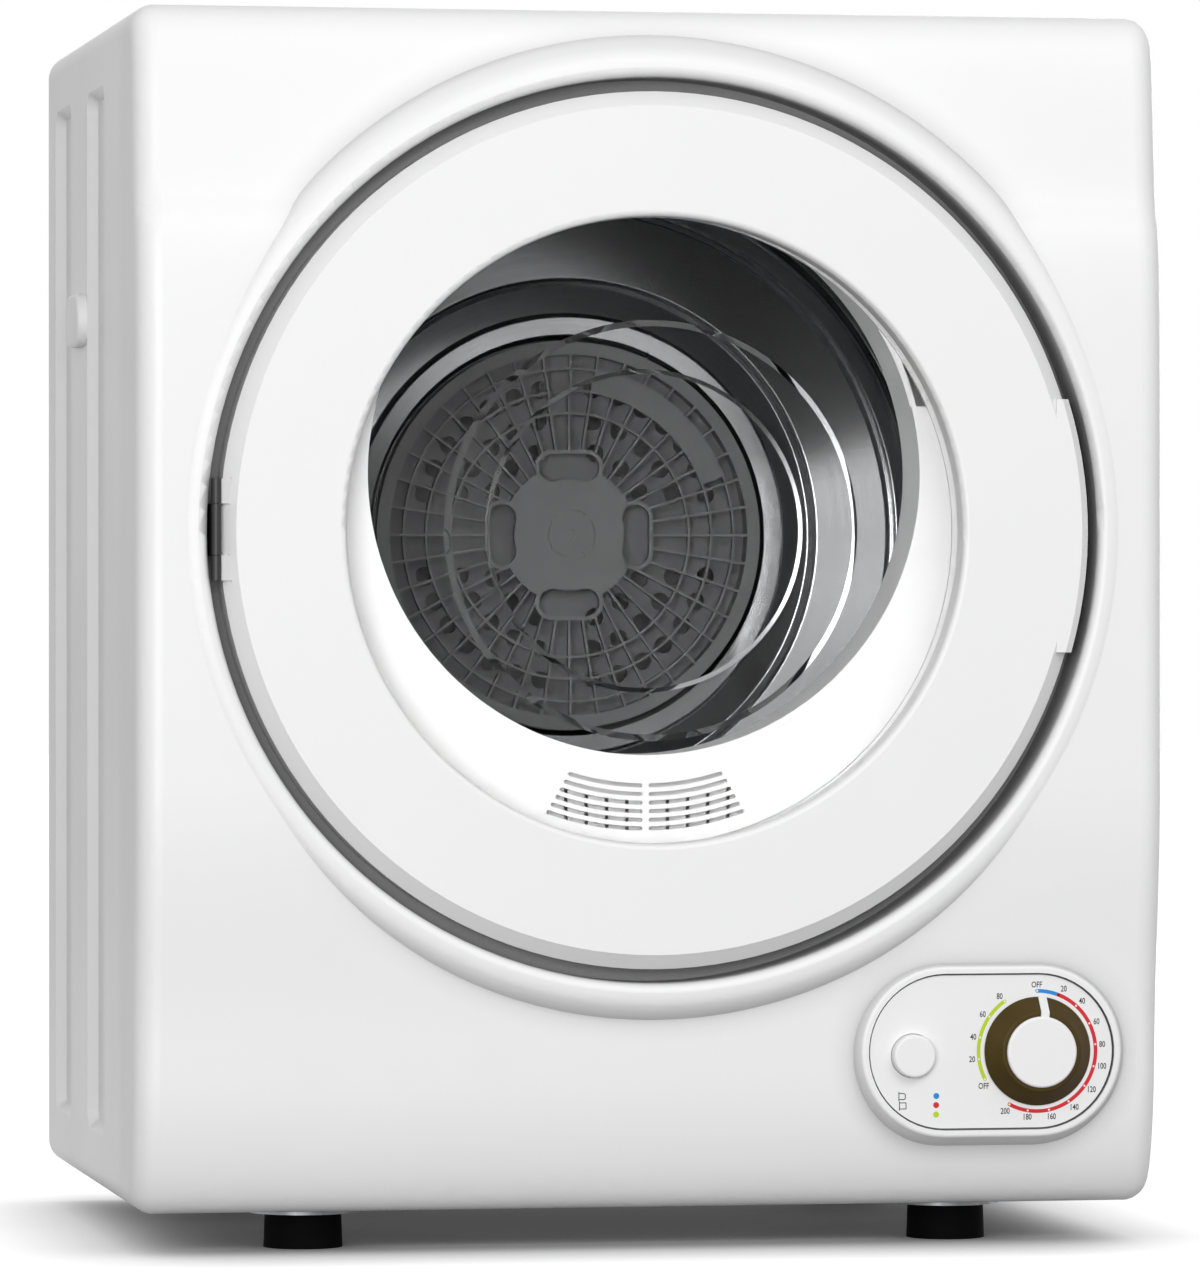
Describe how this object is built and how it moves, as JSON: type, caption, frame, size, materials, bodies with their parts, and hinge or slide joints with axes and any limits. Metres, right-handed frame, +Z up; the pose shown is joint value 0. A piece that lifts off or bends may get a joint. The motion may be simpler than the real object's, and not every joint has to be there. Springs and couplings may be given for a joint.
{
  "type": "clothes dryer",
  "caption": "Compact front-loading vented clothes dryer with a round window door, spinning drum, belt drive, fan, timer knob, heat button and rear exhaust collar.",
  "frame": {"origin": "on the floor, under the middle of the machine's overall box", "axes": "+Z up, -Y towards the door side, +X to the right seen from the front"},
  "size_m": [0.505, 0.405, 0.591],
  "materials": {
    "white_enamelled_steel": "gloss white enamel on sheet steel",
    "galvanised_steel": "galvanised sheet",
    "white_moulded_plastic": "gloss white moulded plastic",
    "white_satin_plastic": "satin white moulded plastic",
    "clear_plastic": "clear moulded plastic, polished",
    "stainless_drum_sheet": "polished stainless sheet",
    "machined_steel": "turned steel",
    "zinc_screw_steel": "bright zinc plated",
    "dark_grey_plastic": "dark grey moulded plastic",
    "grey_plastic": "grey moulded plastic",
    "black_plastic": "black moulded plastic",
    "dark_olive_plastic": "dark olive moulded plastic",
    "black_rubber": "black moulded rubber",
    "grey_rubber": "grey extruded rubber",
    "grey_felt": "pressed wool felt",
    "heater_ceramic": "finned ceramic heater",
    "aluminium_die_cast": "die cast",
    "motor_paint": "black stoved paint",
    "black_coated_steel": "black coated steel sheet"
  },
  "bodies": {
    "cabinet": {"air_grille": "white_satin_plastic", "back_panel": "white_enamelled_steel", "back_screws": "zinc_screw_steel", "base_pan": "galvanised_steel", "cabinet_wrap": "white_enamelled_steel", "capacitor": "white_satin_plastic", "capacitor_cradle": "black_plastic", "control_plate": "white_moulded_plastic", "cord_gland": "black_plastic", "door_catch": "grey_plastic", "door_switch": "black_plastic", "drum_bearing": "machined_steel", "drum_belt": "black_rubber", "exhaust_collar": "white_moulded_plastic", "fan_bearing": "machined_steel", "fan_belt": "black_rubber", "fan_housing": "grey_plastic", "foot_screws": "zinc_screw_steel", "front_bulkhead": "white_satin_plastic", "front_felt": "grey_felt", "front_panel": "white_moulded_plastic", "heat_switch": "black_plastic", "heater_duct": "galvanised_steel", "heater_element": "heater_ceramic", "hinge_bracket": "black_coated_steel", "motor_body": "motor_paint", "motor_cradle": "galvanised_steel", "rear_bulkhead": "galvanised_steel", "rear_felt": "grey_felt", "rubber_feet": "black_rubber", "side_plugs": "white_moulded_plastic", "thermostat": "black_plastic", "timer_body": "grey_plastic"},
    "door": {"door_ring": "white_moulded_plastic", "door_window": "clear_plastic", "door_inner_frame": "white_satin_plastic", "door_screws": "zinc_screw_steel", "door_seal": "grey_rubber", "hinge_leaf": "black_coated_steel", "hinge_pin": "machined_steel", "door_strike": "grey_plastic"},
    "drum": {"drum_shell": "stainless_drum_sheet", "drum_rear_plate": "stainless_drum_sheet", "drum_lifters": "grey_plastic", "drum_spider": "black_coated_steel", "drum_shaft": "machined_steel", "filter_backplate": "dark_grey_plastic", "filter_cover": "dark_grey_plastic"},
    "motor_rotor": {"motor_shaft": "machined_steel", "drum_pulley": "aluminium_die_cast", "fan_drive_pulley": "aluminium_die_cast"},
    "fan": {"fan_wheel": "grey_plastic", "fan_shaft": "machined_steel", "fan_pulley": "black_plastic"},
    "timer_knob": {"timer_shaft": "white_satin_plastic", "knob_ring": "dark_olive_plastic", "knob_cap": "white_moulded_plastic"},
    "heat_button": {"heat_button": "white_moulded_plastic"},
    "switch_plunger": {"switch_plunger": "black_plastic"}
  },
  "joints": [
    {"name": "door_hinge", "type": "hinge", "parent": "cabinet", "child": "door", "pos_m": [-0.2102, -0.1945, 0.343], "axis": [0, 0, -1], "range_deg": [0, 118]},
    {"name": "drum_spin", "type": "hinge", "parent": "cabinet", "child": "drum", "pos_m": [0, 0, 0.343], "axis": [0, 1, 0], "continuous": true},
    {"name": "motor_spin", "type": "hinge", "parent": "cabinet", "child": "motor_rotor", "pos_m": [-0.15, 0, 0.085], "axis": [0, 1, 0], "continuous": true},
    {"name": "fan_spin", "type": "hinge", "parent": "cabinet", "child": "fan", "pos_m": [0, 0.1, 0.343], "axis": [0, 1, 0], "continuous": true},
    {"name": "timer_turn", "type": "hinge", "parent": "cabinet", "child": "timer_knob", "pos_m": [0.1855, -0.19, 0.0944], "axis": [0, 1, 0], "range_deg": [-5, 322]},
    {"name": "heat_push", "type": "slide", "parent": "cabinet", "child": "heat_button", "axis": [0, 1, 0], "range_m": [0, 0.005], "stiffness_N_per_m": 300},
    {"name": "plunger_slide", "type": "slide", "parent": "cabinet", "child": "switch_plunger", "axis": [0, -1, 0], "range_m": [0, 0.003]}
  ],
  "couplings": [
    {"joint": "motor_spin", "follows": "drum_spin", "ratio": 18.835},
    {"joint": "fan_spin", "follows": "drum_spin", "ratio": 8.8879},
    {"joint": "plunger_slide", "follows": "door_hinge", "m_per_rad": 0.00145}
  ]
}
